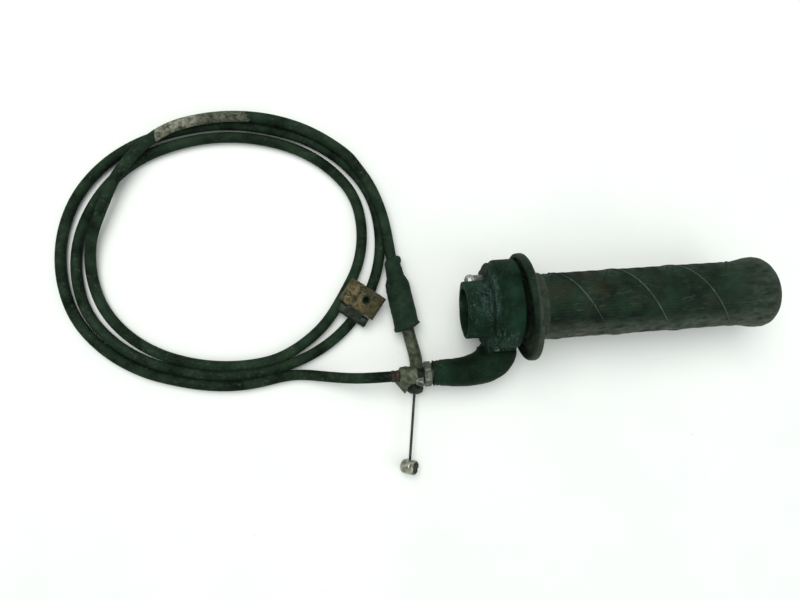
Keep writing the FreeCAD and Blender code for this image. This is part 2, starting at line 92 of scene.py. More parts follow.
ADJUSTER_AXIS = (0, -29.2, -11.0)
THREAD_PITCH = 1.0
THREAD_DEPTH = 0.36
NUT_FLAT = 5.5

# How far the housing's collar and the lower side of its cover sit towards +Y of the CAD's.
COLLAR_SHIFT = 0.8
COVER_SHIFT = 1.6

CAMERA_PLACE = (-54.57, 7.76, 311.68)
CAMERA_LENS = 29.835
CAMERA_TILT = 4.5
CAMERA_ROLL = 3.9


def between(table, key):
    """Reads a value from a table of (key, value) pairs, straight between its rows."""
    for (low, first), (high, last) in zip(table, table[1:]):
        if key <= high:
            return first + (last - first) * max(0.0, key - low) / (high - low)
    return table[-1][1]


def soft_step(low, high, value):
    """A smooth rise from 0 at low to 1 at high."""
    share = min(1.0, max(0.0, (value - low) / (high - low)))
    return share * share * (3 - 2 * share)


# ---------------------------------------------------------------- camera and light


def make_camera():
    tilt, roll = math.radians(CAMERA_TILT), math.radians(CAMERA_ROLL)
    level = Vector((math.cos(tilt), 0, math.sin(tilt)))
    away = Vector((0, 1, 0))
    right = level * math.cos(roll) - away * math.sin(roll)
    up = level * math.sin(roll) + away * math.cos(roll)
    back = Vector((-math.sin(tilt), 0, math.cos(tilt)))
    camera = bpy.data.objects.new("camera", bpy.data.cameras.new("camera"))
    camera.data.sensor_width = 36.0
    camera.data.lens = CAMERA_LENS
    camera.data.clip_start = 0.01
    turn = Matrix((right, up, back)).transposed().to_4x4()
    camera.matrix_world = Matrix.Translation(Vector(CAMERA_PLACE) * MM) @ turn
    bpy.context.scene.collection.objects.link(camera)
    bpy.context.scene.camera = camera


def area_light(name, place, target, size, power, colour=(1, 1, 1)):
    lamp = bpy.data.lights.new(name, "AREA")
    lamp.shape = "DISK"
    lamp.size = size
    lamp.energy = power
    lamp.color = colour
    thing = bpy.data.objects.new(name, lamp)
    thing.location = place
    thing.rotation_mode = "QUATERNION"
    thing.rotation_quaternion = (Vector(target) - Vector(place)).to_track_quat("-Z", "Y")
    bpy.context.scene.collection.objects.link(thing)


def make_lights():
    area_light("overhead", (-0.25, 0.45, 1.1), (-0.03, 0.02, 0), 1.0, 11, (1.0, 1.0, 0.98))
    area_light("side_fill", (0.9, -0.5, 0.7), (0, 0, 0), 0.8, 2.4, (0.95, 0.98, 1.0))
    world = bpy.data.worlds.new("studio")
    world.use_nodes = True
    world.node_tree.nodes["Background"].inputs["Color"].default_value = (0.97, 1.0, 0.98, 1)
    world.node_tree.nodes["Background"].inputs["Strength"].default_value = 0.62
    bpy.context.scene.world = world
    bpy.context.scene.view_settings.view_transform = "Standard"


# ---------------------------------------------------------------- materials


class Paint:
    """A node material laid out on the piece's own coordinates, in metres."""

    def __init__(self, name, rough=0.5, metal=0.0, specular=0.5):
        self.material = bpy.data.materials.new(name)
        self.material.use_nodes = True
        self.tree = self.material.node_tree
        self.shader = self.tree.nodes["Principled BSDF"]
        self.shader.inputs["Roughness"].default_value = rough
        self.shader.inputs["Metallic"].default_value = metal
        self.shader.inputs["Specular IOR Level"].default_value = specular
        self.place = self.tree.nodes.new("ShaderNodeTexCoord").outputs["Object"]

    def put(self, socket, value):
        """Links a socket where the value is another one, or sets it."""
        if isinstance(value, bpy.types.NodeSocket):
            self.tree.links.new(value, socket)
        else:
            socket.default_value = value

    def feed(self, node, **inputs):
        """Links or sets inputs by name, and returns the node's first output."""
        for name, value in inputs.items():
            self.put(node.inputs[name.replace("_", " ")], value)
        return node.outputs[0]

    def noise(self, scale, detail=3.0, stretch=(1, 1, 1), distort=0.0):
        mapping = self.tree.nodes.new("ShaderNodeMapping")
        vector = self.feed(mapping, Vector=self.place, Scale=stretch)
        texture = self.tree.nodes.new("ShaderNodeTexNoise")
        return self.feed(texture, Vector=vector, Scale=scale, Detail=detail,
                         Roughness=0.6, Distortion=distort)

    def level(self, value, low, high):
        """0 below low and 1 above high, or the other way round where low is above high."""
        node = self.tree.nodes.new("ShaderNodeMapRange")
        node.clamp = True
        return self.feed(node, Value=value, From_Min=low, From_Max=high)

    def combine(self, operation, first, second):
        node = self.tree.nodes.new("ShaderNodeMath")
        node.operation = operation
        for socket, value in zip(node.inputs, (first, second)):
            self.put(socket, value)
        return node.outputs[0]

    def times(self, first, *others):
        for other in others:
            first = self.combine("MULTIPLY", first, other)
        return first

    def zone(self, axis, low, high, soft=1.0):
        """1 between two stations along an axis of the frame, in millimetres."""
        split = self.tree.nodes.new("ShaderNodeSeparateXYZ")
        self.feed(split, Vector=self.place)
        value = split.outputs[axis]
        rising = self.level(value, (low - soft) * MM, low * MM)
        falling = self.level(value, (high + soft) * MM, high * MM)
        return self.times(rising, falling)

    def mix(self, share, first, second):
        node = self.tree.nodes.new("ShaderNodeMix")
        node.data_type = "RGBA"
        for number, value in ((0, share), (6, first), (7, second)):
            self.put(node.inputs[number], (*value, 1.0) if isinstance(value, tuple) else value)
        return node.outputs[2]

    def finish(self, colour, height=None, strength=0.3, depth=0.0004, rough=None):
        self.tree.links.new(colour, self.shader.inputs["Base Color"])
        if rough is not None:
            self.tree.links.new(rough, self.shader.inputs["Roughness"])
        if height is not None:
            bump = self.tree.nodes.new("ShaderNodeBump")
            normal = self.feed(bump, Height=height, Strength=strength, Distance=depth)
            self.tree.links.new(normal, self.shader.inputs["Normal"])
        return self.material


def rough_range(paint, value, low, high):
    node = paint.tree.nodes.new("ShaderNodeMapRange")
    return paint.feed(node, Value=value, To_Min=low, To_Max=high)


def dark_rubber(name, dark, light, chalk, amount, grain=1400, stretch=(1, 1, 1),
                rough=(0.5, 0.75), gloss=0.05):
    """Black rubber or plastic with cloudy patches, chalky scuffs and a fine grain."""
    paint = Paint(name, specular=gloss)
    cloud = paint.noise(90, 4.0)
    body = paint.mix(paint.level(cloud, 0.35, 0.68), dark, light)
    scuff = paint.noise(620, 5.0, stretch, 0.4)
    patch = paint.noise(60, 2.0)
    share = paint.times(paint.level(scuff, 0.54, 0.72), paint.level(patch, 0.35, 0.7), amount)
    colour = paint.mix(share, body, chalk)
    height = paint.combine("ADD", paint.noise(grain, 3.0, stretch), paint.times(scuff, 0.8))
    return paint, colour, height, rough_range(paint, scuff, *rough)


def rubber_material(name, dark, light, chalk, amount, **options):
    paint, colour, height, rough = dark_rubber(name, dark, light, chalk, amount, **options)
    return paint.finish(colour, height, 0.35, 0.0003, rough)


def jacket_material():
    """The cable's black jacket, bleached and beige on one worn stretch of the top turn."""
    paint, colour, height, rough = dark_rubber(
        "jacket_black", (0.003, 0.007, 0.004), (0.017, 0.035, 0.019), (0.080, 0.100, 0.072), 0.6,
        grain=1000)
    fibres = paint.noise(500, 4.0, (1, 1, 1), 0.8)
    beige = paint.mix(paint.level(fibres, 0.35, 0.65), (0.05, 0.055, 0.038), (0.27, 0.275, 0.21))
    ragged = paint.combine("ADD", paint.zone(0, -143.5, -101.0, 9.0),
                           paint.times(paint.combine("SUBTRACT", fibres, 0.5), 1.6))
    fading = paint.combine("ADD", paint.times(paint.zone(0, -160, -123, 4.0), 0.5), 0.4)
    worn = paint.times(paint.level(ragged, 0.55, 0.8), paint.zone(0, -141.5, -80, 0.4),
                       paint.zone(2, -18.6, -10, 1.0), paint.zone(1, 60, 140, 1.0), fading)
    return paint.finish(paint.mix(worn, colour, beige), height, 0.4, 0.0003, rough)


def housing_material():
    """Worn black plastic, with bluish streaks of painted highlight on the shoulder and on the lower
    side of the cover, and pale specks of painted highlight on the collar.
    """
    paint, colour, height, rough = dark_rubber(
        "housing_plastic", (0.004, 0.011, 0.007), (0.012, 0.033, 0.020), (0.070, 0.10, 0.080), 0.5,
        grain=900, rough=(0.4, 0.65), gloss=0.015)
    high = paint.zone(2, 3.0, 30.0, 2.0)
    # Bluish streaks of painted highlight on the top of the shoulder, where the collar meets the
    # cover.
    highlight_streaks = paint.level(paint.noise(800, 5.0, (1.0, 0.4, 1.0), 0.6), 0.44, 0.74)
    painted_highlight = paint.times(paint.zone(0, 7.0, 12.5, 2.0), paint.zone(1, 0.0, 14.0, 5.0), high,
                       highlight_streaks)
    colour = paint.mix(painted_highlight, colour, (0.050, 0.080, 0.082))
    # Painted highlight: faint vertical bluish streaks on the lower side of the cover.
    highlight_lines = paint.level(paint.noise(1100, 3.0, (1.0, 0.1, 0.3)), 0.50, 0.74)
    lower_painted_highlight = paint.times(paint.zone(0, 11.0, 21.0, 3.0), paint.zone(1, -21.0, -11.0, 3.0), highlight_lines)
    colour = paint.mix(lower_painted_highlight, colour, (0.055, 0.085, 0.075))
    # Pale specks of painted highlight on the top of the collar.
    specks = paint.level(paint.noise(1900, 2.0), 0.60, 0.70)
    patch = paint.level(paint.noise(260, 2.0), 0.42, 0.62)
    painted_glint_zone = paint.times(paint.zone(0, 2.0, 11.0, 3.0), paint.zone(1, -4.0, 8.0, 4.0), high,
                        patch)
    colour = paint.mix(paint.times(specks, painted_glint_zone), colour, (0.15, 0.18, 0.16))
    return paint.finish(colour, height, 0.3, 0.0003, rough)


def grip_material():
    """Ribbed black rubber, greenish where it is clean and brown where it has aged, with its lower
    side painted lighter by dust and painted sheen.
    """
    paint, colour, height, rough = dark_rubber(
        "grip_rubber", (0.002, 0.007, 0.004), (0.008, 0.026, 0.012), (0.070, 0.085, 0.066), 0.6,
        grain=1500, stretch=(0.35, 1, 1), rough=(0.5, 0.78), gloss=0.11)
    aged = paint.level(paint.noise(55, 3.0), 0.52, 0.68)
    colour = paint.mix(paint.times(aged, 0.6), colour, (0.020, 0.019, 0.009))
    dusty = paint.level(paint.noise(380, 4.0, (0.5, 1, 1)), 0.30, 0.66)
    # The lower (-Y) side is painted lighter: partly dust, partly painted sheen of light from below.
    side = paint.times(paint.zone(1, -40.0, -15.0, 8.0), paint.zone(0, 38.0, 150.0, 6.0), dusty,
                       0.75)
    colour = paint.mix(side, colour, (0.11, 0.125, 0.10))
    end = paint.times(paint.zone(0, 145.0, 170.0, 24.0), dusty, 0.5)
    colour = paint.mix(end, colour, (0.065, 0.08, 0.062))
    band = paint.times(paint.zone(0, 30.0, 36.4, 1.2),
                       paint.level(paint.noise(300, 4.0), 0.25, 0.6), 0.55)
    colour = paint.mix(band, colour, (0.06, 0.07, 0.055))
    return paint.finish(colour, height, 0.35, 0.0003, rough)


def metal_material(name, dark, light, stain, stained, rough=0.42, scale=260, bump=0.3):
    """Plated or bare metal with stains and pits."""
    paint = Paint(name, rough, 0.85)
    cloud = paint.noise(scale, 5.0, (1, 1, 1), 0.5)
    body = paint.mix(paint.level(cloud, 0.35, 0.65), dark, light)
    spots = paint.noise(scale * 1.8, 4.0)
    share = paint.times(paint.level(spots, 0.5, 0.66), stained)
    height = paint.noise(scale * 5, 3.0)
    return paint.finish(paint.mix(share, body, stain), height, bump, 0.0002,
                        rough_range(paint, cloud, rough - 0.1, rough + 0.25))


def rust_material():
    """Rough brown rust, with pale flakes and an ochre patch."""
    paint = Paint("rusty_sheet", 0.85, 0.1, 0.3)
    cloud = paint.noise(330, 6.0, (1, 1, 1), 1.0)
    fine = paint.noise(1300, 5.0)
    body = paint.mix(paint.level(cloud, 0.36, 0.62), (0.012, 0.014, 0.007), (0.062, 0.054, 0.020))
    pale = paint.times(paint.level(fine, 0.56, 0.72), 0.45)
    colour = paint.mix(pale, body, (0.17, 0.15, 0.085))
    ochre = paint.times(paint.zone(0, -55.0, -47.0, 3.0), paint.zone(1, 7.0, 15.0, 4.0),
                        paint.level(cloud, 0.40, 0.60), 0.6)
    colour = paint.mix(ochre, colour, (0.21, 0.165, 0.075))
    return paint.finish(colour, paint.combine("ADD", cloud, fine), 0.9, 0.0006,
                        rough_range(paint, fine, 0.7, 0.95))


def floor_material():
    """A white board with faint scratches and a few specks of dirt."""
    paint = Paint("white_board", 0.55, 0.0, 0.3)
    cloud = paint.noise(9, 4.0)
    body = paint.mix(paint.level(cloud, 0.3, 0.7), (0.80, 0.83, 0.81), (0.86, 0.885, 0.86))
    specks = paint.level(paint.noise(170, 2.0), 0.76, 0.80)
    scratch = paint.level(paint.noise(30, 3.0, (0.15, 3.0, 1), 1.5), 0.70, 0.74)
    marks = paint.combine("MAXIMUM", specks, paint.times(scratch, 0.25))
    colour = paint.mix(paint.times(marks, 0.3), body, (0.42, 0.45, 0.44))
    return paint.finish(colour)


# ---------------------------------------------------------------- shapes


def add_object(name, mesh, sharp=42.0):
    mesh.shade_smooth()
    mesh.set_sharp_from_angle(angle=math.radians(sharp))
    thing = bpy.data.objects.new(name, mesh)
    bpy.context.scene.collection.objects.link(thing)
    return thing


def skin(name, rings, caps=(True, True), sharp=42.0):
    """A surface over rings of points with the same count, in millimetres."""
    around = len(rings[0])
    points = [tuple(Vector(p) * MM) for ring in rings for p in ring]
    faces = []
    for row in range(len(rings) - 1):
        for step in range(around):
            low, high = row * around + step, row * around + (step + 1) % around
            faces.append((low, high, high + around, low + around))
    if caps[0]:
        faces.append(tuple(reversed(range(around))))
    if caps[1]:
        faces.append(tuple(range(len(points) - around, len(points))))
    mesh = bpy.data.meshes.new(name)
    mesh.from_pydata(points, [], faces)
    return add_object(name, mesh, sharp)


def dense(profile, step):
    """The profile's points with more between them, no further apart than step."""
    points = [profile[0]]
    for (x0, r0), (x1, r1) in zip(profile, profile[1:]):
        count = max(1, math.ceil(math.hypot(x1 - x0, r1 - r0) / step))
        points += [(x0 + (x1 - x0) * i / count, r0 + (r1 - r0) * i / count)
                   for i in range(1, count + 1)]
    return points


def lathe(name, profile, origin, along, radius_at=None, around=72, caps=(True, True), sharp=42.0):
    """Turns a profile of (distance, radius) about a line; radius_at can shape it further."""
    along = Vector(along).normalized()
    side = along.orthogonal().normalized() if abs(along.x) < 0.99 else Vector((0, 0, 1))
    other = along.cross(side)
    rings = []
    for distance, radius in profile:
        ring = []
        for step in range(around):
            angle = 2 * math.pi * step / around
            reach = radius_at(distance, radius, angle) if radius_at else radius
            ring.append(Vector(origin) + along * distance
                        + (side * math.cos(angle) + other * math.sin(angle)) * reach)
        rings.append(ring)
    return skin(name, rings, caps, sharp)


def smooth_line(points, steps):
    """A Catmull-Rom curve through points, with that many steps between each two."""
    points = [Vector(p) for p in points]
    ends = [points[0] * 2 - points[1], *points, points[-1] * 2 - points[-2]]
    line = []
    for a, b, c, d in zip(ends, ends[1:], ends[2:], ends[3:]):
        for step in range(steps):
            t = step / steps
            line.append(0.5 * ((2 * b) + (c - a) * t + (2 * a - 5 * b + 4 * c - d) * t * t
                               + (3 * b - a - 3 * c + d) * t ** 3))
    return line + [points[-1]]


def sweep(name, line, radius_at, around=48, up=(0, 0, 1), caps=(True, True), sharp=42.0):
    """A tube along a line; radius_at(share along, angle from up) gives its radius."""
    total = sum((b - a).length for a, b in zip(line, line[1:]))
    side, gone, rings = Vector(up), 0.0, []
    for number, point in enumerate(line):
        before, after = line[max(0, number - 1)], line[min(len(line) - 1, number + 1)]
        heading = (after - before).normalized()
        side = (side - heading * side.dot(heading)).normalized()
        other = heading.cross(side)
        if number:
            gone += (point - line[number - 1]).length
        angles = [2 * math.pi * step / around for step in range(around)]
        rings.append([point + (side * math.cos(a) + other * math.sin(a))
                      * radius_at(gone / total, a) for a in angles])
    return skin(name, rings, caps, sharp)


def evaluated_mesh(thing):
    """The piece's mesh as its modifiers leave it."""
    depsgraph = bpy.context.evaluated_depsgraph_get()
    return bpy.data.meshes.new_from_object(thing.evaluated_get(depsgraph))


def softened(name, node, voxel, rounds):
    """A copy of a CAD node with its edges rounded off as moulding or wear rounds them."""
    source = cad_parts[node]
    thing = bpy.data.objects.new(name, source.data.copy())
    bpy.context.scene.collection.objects.link(thing)
    remesh = thing.modifiers.new("remesh", "REMESH")
    remesh.mode = "VOXEL"
    remesh.voxel_size = voxel * MM
    smooth = thing.modifiers.new("smooth", "SMOOTH")
    smooth.factor = 0.5
    smooth.iterations = rounds
    shape = evaluated_mesh(thing)
    bpy.data.objects.remove(thing)
    return add_object(name, shape, 60.0)


def uneven(thing, size, depth):
    """Moves a piece's points a little in or out, by a smooth pattern of that size."""
    mesh = thing.data
    normals = [vertex.normal.copy() for vertex in mesh.vertices]
    for vertex, normal in zip(mesh.vertices, normals):
        vertex.co += normal * noise.noise(vertex.co / (size * MM)) * depth * MM
    return thing


def dress(thing, body, slot, material, *nodes):
    """Gives a piece its material and its CAD body, and hides the CAD nodes that it stands for."""
    thing.data.materials.clear()
    thing.data.materials.append(material)
    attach(thing, body)
    if nodes:
        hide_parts(*nodes)
    return thing


def coat(node, material):
    """Gives a CAD node that stays as it is its finished material."""
    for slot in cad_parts[node].material_slots:
        slot.material = material


# ---------------------------------------------------------------- the cable


def coil_points():
    """The coil's turns, by a loop, with a radius and height that vary along it."""
    points = []
    count = round(COIL_TURNS * COIL_POINTS_PER_TURN)
    eighths = [(number / 8, offset) for number, offset in enumerate(COIL_OFFSETS)]
    for number in range(1, count + 1):
        turns = number / COIL_POINTS_PER_TURN
        angle = math.radians(COIL_START_ANGLE - 360 * turns)
        reach = COIL_RADIUS + COIL_STRETCH * math.cos(2 * angle) + between(eighths, turns)
        height = FLOOR + CABLE_RADIUS + between(RISE, turns)
        points.append((COIL_CENTRE[0] + reach * SPLINE_PULL * math.cos(angle),
                       COIL_CENTRE[1] + reach * SPLINE_PULL * math.sin(angle), height))
    return points


def make_cable(material):
    points = LEAD_POINTS + coil_points() + TAIL_POINTS
    curve = bpy.data.curves.new("cable_jacket", "CURVE")
    curve.dimensions = "3D"
    spline = curve.splines.new("NURBS")
    spline.points.add(len(points) - 1)
    for target, point in zip(spline.points, points):
        target.co = (*(Vector(point) * MM), 1)
    spline.order_u = 3
    spline.use_endpoint_u = True
    spline.resolution_u = 12
    curve.bevel_depth = CABLE_RADIUS * MM
    curve.bevel_resolution = 8
    curve.use_fill_caps = True
    thing = bpy.data.objects.new("cable_jacket", curve)
    bpy.context.scene.collection.objects.link(thing)
    return dress(thing, "housing", "cable_jacket", material,
                 "cable_lead", "cable_coil", "cable_tail")


# ---------------------------------------------------------------- the grip


def grip_radius(x, radius, angle):
    """The grip's surface: fine ribs along it, two raised ribs winding round it, some wear."""
    wobble = 0.12 * noise.noise(Vector((x / 9, math.cos(angle) * 2, math.sin(angle) * 2)))
    if x > 37.4 and radius > 14.5 and x < 150:
        station = x - RIB_ZERO + RIB_PITCH * angle / (2 * math.pi)
        away = abs(station - RIB_GAP * round(station / RIB_GAP))
        rib = 0.55 * math.exp(-((away / 0.55) ** 2))
        rib = rib * soft_step(39, 42, x) * soft_step(134, 130, x)
        fine = 0.16 * math.cos(64 * angle) * soft_step(1.6, 2.6, away)
        fine *= soft_step(37.6, 39.4, x) * soft_step(137, 133, x)
        blocks = soft_step(-0.2, 0.35, math.cos(2 * math.pi * x / 7.4 + 3 * math.sin(angle)))
        return radius + wobble + rib + fine * (0.4 + 0.6 * blocks)
    return radius + wobble * 0.6


def make_grip(material, ribs):
    rim = [(27.2, 23.6), (27.05, 24.4), (27.2, 25.1), (27.7, 25.6), (28.6, 25.8), (30.2, 25.8),
           (30.9, 25.5), (31.3, 25.0), (31.4, 24.2)]
    fillet = [(31.4 + 1.3 * (1 - math.cos(math.radians(a))), 17.7 - 1.3 * math.sin(math.radians(a)))
              for a in range(0, 91, 15)]
    bulb = [(131, 15.55), (134, 15.75), (137, 16.3), (140, 16.95), (143, 17.2), (145.5, 16.95),
            (147.5, 16.0), (149.2, 14.4), (150.3, 12.2), (150.8, 9.6), (150.9, 6.0), (150.9, 1.0)]
    profile = [(28.0, 13.3), (29.2, 14.5), (29.2, 22.6), *rim, (31.4, 19), *fillet, (36.3, 16.4),
               (36.8, 16.2), (37.2, 15.6), *bulb]
    cover = lathe("grip_cover", dense(profile, 0.42), (0, 0, 0), (1, 0, 0), grip_radius, 384,
                  (False, True), 75.0)
    for vertex in cover.data.vertices:
        x, y, z = vertex.co / MM
        flange = soft_step(16.5, 22.0, math.hypot(y, z)) * soft_step(34.0, 31.0, x)
        tip = soft_step(143.0, 150.5, x)
        vertex.co.x -= flange * (0.15 + 0.066 * y) * MM
        vertex.co.y += (0.5 * flange - 0.7 * tip) * MM
    for start in range(2):
        make_rib(start, ribs)
    return dress(cover, "throttle", "grip_rubber", material, "grip_rubber")


def rib_radius(share, angle):
    return 0.30 * soft_step(0.0, 0.02, share) * soft_step(1.0, 0.98, share) + 0.05


def make_rib(start, material):
    """One of the two raised strips that wind round the grip, worn pale along its top."""
    line = []
    for step in range(241):
        x = 42.5 + 88.0 * step / 240
        angle = 2 * math.pi * (x - RIB_ZERO - RIB_GAP * start) / RIB_PITCH
        reach = 15.72 + 0.25 * noise.noise(Vector((x / 6, start, 0)))
        line.append(Vector((x, -reach * math.sin(angle), reach * math.cos(angle))))
    strip = sweep(f"grip_rib_{start}", line, rib_radius, 8, (0, 1, 0))
    dress(strip, "throttle", "grip_rubber", material)


# ---------------------------------------------------------------- the elbow and the adjuster


def elbow_radius(share, angle):
    """The elbow's boot: its width, two grooves, a bulge on the inside and a moulding seam."""
    width = between([(0.0, 8.4), (0.06, 8.7), (0.12, 8.3), (0.16, 7.6), (0.4, 7.15), (0.7, 6.8),
                     (0.9, 6.2), (1.0, 5.95)], share)
    rings = 0.35 * sum(math.exp(-(((share - at) / 0.010) ** 2)) for at in (0.925, 0.965))
    inner = between([(0.0, 2.6), (0.1, 3.2), (0.2, 3.9), (0.31, 3.1), (0.49, 1.4), (0.62, 0.4),
                     (0.75, 0.0)], share) * max(0.0, math.sin(angle)) ** 1.6
    flash = 0.5 * math.exp(-(((angle - 4.55) / 0.07) ** 2)) * soft_step(0.12, 0.3, share)
    worn = 0.12 * noise.noise(Vector((share * 14, math.cos(angle), math.sin(angle))))
    return width - rings + inner + flash + worn


def make_elbow(material):
    line = smooth_line([(18.7, -19.0, -13.8), (18.4, -22.5, -13.8), (16.6, -26.0, -13.8),
                        (12.0, -28.4, -13.4), (5.0, -29.5, -12.6), (-3.0, -29.5, -11.8),
                        (-10.0, -29.0, -11.1), (-15.6, -28.9, -11.0)], 14)
    return dress(sweep("elbow_cover", line, elbow_radius, 72), "housing", "boot_rubber",
                 material, "elbow_boot")


def hex_radius(distance, radius, angle):
    """Six flats on the nut's outside, and a round bore."""
    if radius <= 5:
        return radius
    sector = (angle + math.pi / 6) % (math.pi / 3) - math.pi / 6
    return min(radius, NUT_FLAT / math.cos(sector))


def thread_radius(distance, radius, angle):
    if radius <= 2:
        return radius
    phase = (distance / THREAD_PITCH - angle / (2 * math.pi)) % 1.0
    return radius - THREAD_DEPTH * abs(2 * phase - 1)


def crimp_radius(distance, radius, angle):
    """Six dents round the ferrule, along its crimped part."""
    return radius - (0.14 * (1 + math.cos(6 * angle)) if 32.6 < distance < 35.7 else 0)


def make_adjuster(steel, olive, brown, bright, dark):
    """The threaded sleeve, its nut, the cable stop, the ferrule and the lock washer."""
    axis, outward = ADJUSTER_AXIS, (-1, 0, 0)
    thread = [(16.0 + 0.125 * n, 3.5) for n in range(72)]
    dress(lathe("adjuster_thread", [(16.0, 1.7), *thread, (24.9, 1.7)], axis, outward,
                thread_radius, 48, (False, False)),
          "housing", "pipe_steel", dark, "adjuster_barrel")
    nut = [(16.3, 3.6), (16.3, 5.3), (16.9, 6.2), (19.5, 6.2), (20.1, 5.3), (20.1, 3.6),
           (16.3, 3.6)]
    dress(lathe("adjuster_ring", dense(nut, 0.4), axis, outward, hex_radius, 96, (False, False)),
          "adjuster", "pipe_steel", steel, "adjuster_nut")
    stop = [(23.2, 2.4), (23.2, 3.9), (23.6, 4.3), (25.0, 4.4), (30.6, 4.4), (31.6, 4.2),
            (32.0, 3.6), (32.0, 2.4)]
    dress(uneven(lathe("stop_body", dense(stop, 0.3), axis, outward, None, 64), 1.6, 0.22),
          "housing", "olive_zinc", olive, "cable_stop")
    ferrule = [(31.8, 1.7), (31.8, 2.7), (32.3, 2.9), (33.4, 2.9), (33.7, 2.6), (34.1, 2.6),
               (34.4, 2.9), (35.5, 2.9), (36.0, 2.75), (36.3, 2.2)]
    crimped = dress(lathe("crimped_ferrule", dense(ferrule, 0.3), axis, outward, crimp_radius, 48),
                    "housing", "brown_ferrule", brown, "grip_ferrule")
    wedge = [(-35.6, -30.6), (-32.1, -26.4), (-26.4, -25.2), (-24.0, -27.0), (-24.0, -33.0),
             (-26.2, -33.8), (-28.0, -35.0), (-29.0, -37.2), (-29.9, -38.2)]
    dress(plate("stop_wedge", wedge, -13.5, 2.4), "housing", "olive_zinc", olive)
    washer = [(-24.3, -30.9), (-20.5, -30.3), (-20.5, -34.6), (-22.2, -34.7), (-24.3, -33.6)]
    dress(plate("lock_washer", washer, -8.2, 0.8), "housing", "pipe_steel", steel)
    for number in range(3):
        x, y = -24.1 + 1.1 * number, -31.4 - 0.45 * number
        tooth = [(x, y), (x + 0.5, y + 0.3), (x + 1.8, y - 1.5), (x + 1.3, y - 1.8)]
        dress(plate(f"washer_tooth_{number}", tooth, -7.5, 0.6), "housing", "bright_steel", bright)
    return crimped


def plate(name, outline, bottom, gauge):
    """A flat sheet with a bevelled outline, lying level."""
    rings = []
    centre = Vector((sum(x for x, _ in outline), sum(y for _, y in outline), 0)) / len(outline)
    for height, inset in ((0, 0.12), (0.12 * gauge, 0), (0.88 * gauge, 0), (gauge, 0.12)):
        rings.append([Vector((x, y, bottom + height)).lerp(
            Vector((centre.x, centre.y, bottom + height)), inset) for x, y in outline])
    return skin(name, rings, (True, True), 30.0)


# ---------------------------------------------------------------- the carburettor end


def dust_boot_radius(share, angle):
    width = between([(0.0, 2.5), (0.02, 3.3), (0.06, 4.0), (0.13, 4.05), (0.26, 4.5), (0.31, 5.3),
                     (0.36, 5.95), (0.42, 6.1), (0.9, 6.2), (0.925, 6.25), (0.94, 6.55),
                     (0.975, 6.6), (0.99, 6.1), (1.0, 4.6)], share)
    worn = 0.16 * noise.noise(Vector((share * 16, 2 * math.cos(angle), 2 * math.sin(angle))))
    return width + worn


def end_tube_radius(share, angle):
    ridge = 0.17 * math.cos(2 * math.pi * share * 46)
    ridge *= soft_step(0.34, 0.37, share) * soft_step(0.53, 0.50, share)
    return 3.3 - 0.25 * share + ridge


def make_carb_end(rubber, olive, dark, wire, zinc):
    inward = (KNEE - NOSE).normalized()
    line = smooth_line([(-31.3, 28.6, -21.3), (-30.9, 25.0, -20.6), (-29.9, 19.0, -19.6),
                        (-28.4, 9.0, -19.3), (-27.0, 1.0, -19.2), (-25.7, -6.8, -19.2)], 16)
    boot = sweep("dust_boot", line, dust_boot_radius, 72)
    for vertex in boot.data.vertices:
        x, y, z = vertex.co / MM
        ragged = 0.5 * noise.noise(Vector((x, z, 0)) * 0.9)
        vertex.co.y += (0.16 * (x + 25.8) + ragged) * soft_step(-2.5, -5.5, y) * MM
    dress(boot, "housing", "boot_rubber", rubber, "carb_boot")
    bead = lathe("boot_bead", dense([(-2.3, 0.2), (-2.0, 1.5), (-1.2, 2.3), (0.4, 2.6), (1.6, 2.2),
                                     (2.4, 1.2), (2.6, 0.2)], 0.3),
                 (-29.0, 27.6, -20.3), (-0.5, 0.85, 0), None, 40)
    dress(uneven(bead, 1.5, 0.3), "housing", "boot_rubber", rubber)
    line = smooth_line([NOSE + inward * 1.0, NOSE + inward * 7, KNEE + Vector((-0.1, -0.5, 0)),
                        (-22.9, -20.0, -21.0), (-24.8, -11.0, -20.4), TUBE_TOP], 18)
    tube = dress(sweep("end_tube_metal", line, end_tube_radius, 48), "housing", "olive_zinc",
                 olive, "end_tube")
    cup = make_cup(dark, inward)
    strands = make_wire(wire, inward)
    ends = make_nipple(zinc, dark, inward)
    return [boot, bead, tube, cup, strands, *ends]


def make_cup(material, inward):
    """The rounded nose that the wire leaves by, with a groove round it."""
    profile = [(4.6, 1.0), (-0.8, 1.0), (-1.0, 1.2), (-1.0, 2.2), (-0.7, 2.7), (-0.2, 3.6),
               (0.3, 4.05), (0.6, 3.95), (0.9, 4.3), (1.8, 4.4), (2.9, 4.15), (3.9, 3.6),
               (4.6, 3.1), (4.6, 1.0)]
    bell = lathe("nose_bell", dense(profile, 0.25), NOSE, inward, None, 64, (False, False))
    return dress(uneven(bell, 1.6, 0.16), "housing", "dark_cup", material, "nose_cup")


def make_wire(material, inward):
    """Six strands laid round a core, as one mesh."""
    side = inward.cross(Vector((0, 0, 1)))
    up = Vector((0, 0, 1))
    rows, around = 150, 7
    points, faces = [], []
    for strand in range(STRANDS + 1):
        start = len(points)
        reach = STRAND_REACH if strand < STRANDS else 0.0
        for row in range(rows):
            gone = -2.0 + (WIRE_LENGTH + 0.5) * row / (rows - 1)
            turn = 2 * math.pi * (strand / STRANDS + gone / STRAND_LAY)
            centre = NOSE - inward * gone + (side * math.cos(turn) + up * math.sin(turn)) * reach
            for step in range(around):
                angle = 2 * math.pi * step / around
                spot = centre + (side * math.cos(angle) + up * math.sin(angle)) * STRAND_RADIUS
                points.append(tuple(spot * MM))
        for row in range(rows - 1):
            for step in range(around):
                ring = start + row * around
                low, high = ring + step, ring + (step + 1) % around
                faces.append((low, high, high + around, low + around))
    mesh = bpy.data.meshes.new("wire_strands")
    mesh.from_pydata(points, [], faces)
    return dress(add_object("wire_strands", mesh), "cable_end", "wire_steel", material,
                 "inner_wire")


